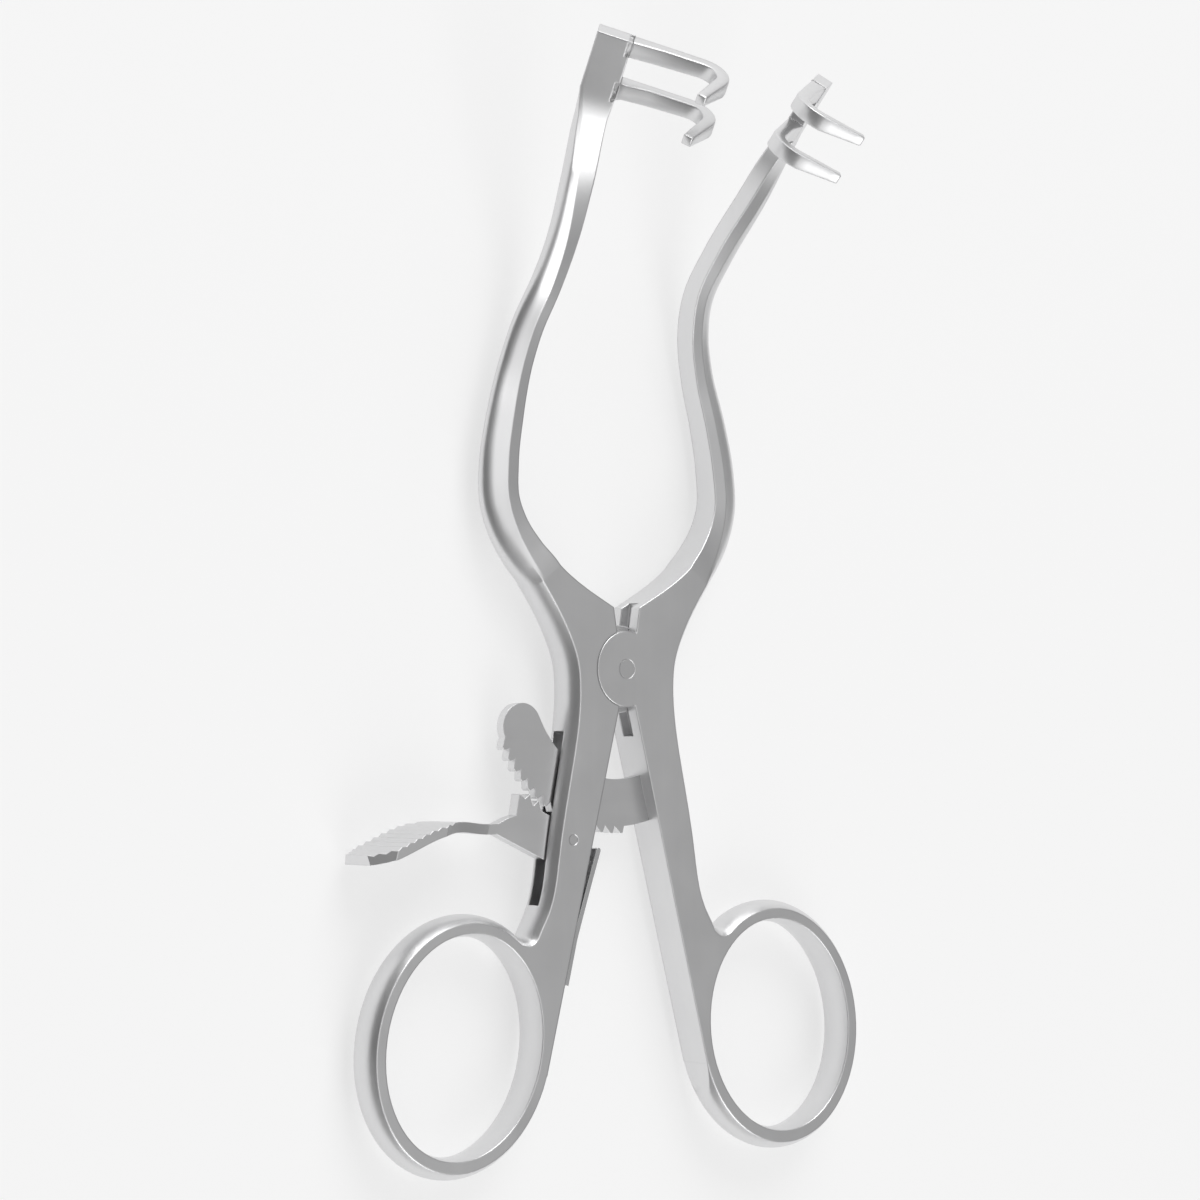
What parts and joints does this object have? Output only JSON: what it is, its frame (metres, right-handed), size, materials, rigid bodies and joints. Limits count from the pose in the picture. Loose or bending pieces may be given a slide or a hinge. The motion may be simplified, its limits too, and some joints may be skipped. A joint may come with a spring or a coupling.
{
  "type": "self retaining retractor",
  "caption": "Ring-handled self retaining surgical retractor: pivoted arms with raked, blunt-pronged blades, held open by a curved ratchet bar and a sprung thumb release lever.",
  "frame": {"origin": "on the axis of the joint between the arms, in the flat back face of the joint", "axes": "+Y from the handles to the blades, +X to the right arm as seen from the front, +Z out of the front face, the side that the blades rise to"},
  "size_m": [0.0736, 0.1284, 0.0358],
  "materials": {
    "arm_steel": "satin stainless steel, glass-bead and brush finished",
    "pin_steel": "satin stainless steel, ground flush",
    "bar_steel": "satin stainless steel with milled teeth",
    "lever_steel": "satin stainless steel with a ridged thumb pad",
    "spring_steel": "spring stainless steel, lightly polished",
    "screw_steel": "turned stainless steel"
  },
  "bodies": {
    "left_arm": {"left_arm": "arm_steel", "lever_pin": "pin_steel", "leaf_spring": "spring_steel", "spring_screw": "screw_steel"},
    "right_arm": {"right_arm": "arm_steel", "pivot_pin": "pin_steel", "ratchet_bar": "bar_steel"},
    "release_lever": {"release_lever": "lever_steel"}
  },
  "joints": [
    {"name": "arm_pivot", "type": "hinge", "parent": "left_arm", "child": "right_arm", "pos_m": [0, 0, 0.0024], "axis": [0, 0, 1], "range_deg": [-22.5, 22.5]},
    {"name": "lever_pivot", "type": "hinge", "parent": "left_arm", "child": "release_lever", "pos_m": [-0.00806, -0.01959, 0.0024], "axis": [0, 0, 1], "range_deg": [-8.2, 4], "stiffness_Nm_per_rad": 0.05}
  ]
}
